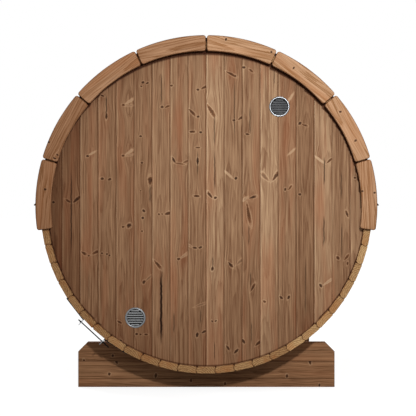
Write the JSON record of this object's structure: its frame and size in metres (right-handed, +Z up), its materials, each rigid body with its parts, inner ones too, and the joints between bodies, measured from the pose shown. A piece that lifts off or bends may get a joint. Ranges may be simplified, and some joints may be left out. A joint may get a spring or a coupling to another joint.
{
  "type": "barrel sauna",
  "caption": "Barrel-shaped outdoor sauna of bead-and-cove wooden staves on timber cradles, with recessed board end walls, arched trim, a black felt roof, steel hoops, louvred vents and a plank door.",
  "frame": {"origin": "on the ground, under the middle of the barrel", "axes": "+Z up, +Y along the barrel from the vented back end to the door end, +X to the right as the back end is looked at"},
  "size_m": [2.069, 2.456, 2.1408],
  "materials": {
    "stave_wood": "planed softwood",
    "wall_wood": "planed heat-treated softwood",
    "trim_wood": "planed heat-treated softwood",
    "cradle_wood": "planed heat-treated softwood",
    "door_wood": "planed heat-treated softwood",
    "roof_felt": "mineral-faced bitumen felt",
    "steel": "brushed",
    "vent_bright": "satin",
    "vent_grey": "satin"
  },
  "bodies": {
    "root": {"staves_bottom": "stave_wood", "staves_lower_right": "stave_wood", "staves_upper_right": "stave_wood", "staves_top": "stave_wood", "staves_upper_left": "stave_wood", "staves_lower_left": "stave_wood", "back_wall": "wall_wood", "front_wall_left": "wall_wood", "front_wall_right": "wall_wood", "front_wall_over_door": "wall_wood", "front_wall_under_door": "wall_wood", "door_jamb_left": "door_wood", "door_jamb_right": "door_wood", "door_head": "door_wood", "door_sill": "door_wood", "door_leaf": "door_wood", "door_hinges": "steel", "door_pull": "trim_wood", "back_trim_1": "trim_wood", "back_trim_2": "trim_wood", "back_trim_3": "trim_wood", "back_trim_4": "trim_wood", "back_trim_5": "trim_wood", "back_trim_6": "trim_wood", "back_trim_7": "trim_wood", "back_trim_8": "trim_wood", "front_trim_1": "trim_wood", "front_trim_2": "trim_wood", "front_trim_3": "trim_wood", "front_trim_4": "trim_wood", "front_trim_5": "trim_wood", "front_trim_6": "trim_wood", "front_trim_7": "trim_wood", "front_trim_8": "trim_wood", "back_cradle": "cradle_wood", "front_cradle": "cradle_wood", "back_hoop": "steel", "front_hoop": "steel", "back_hoop_lugs": "steel", "front_hoop_lugs": "steel", "back_tension_rod": "steel", "front_tension_rod": "steel", "roof_felt": "roof_felt", "upper_vent": "vent_bright", "lower_vent": "vent_grey"}
  },
  "joints": []
}
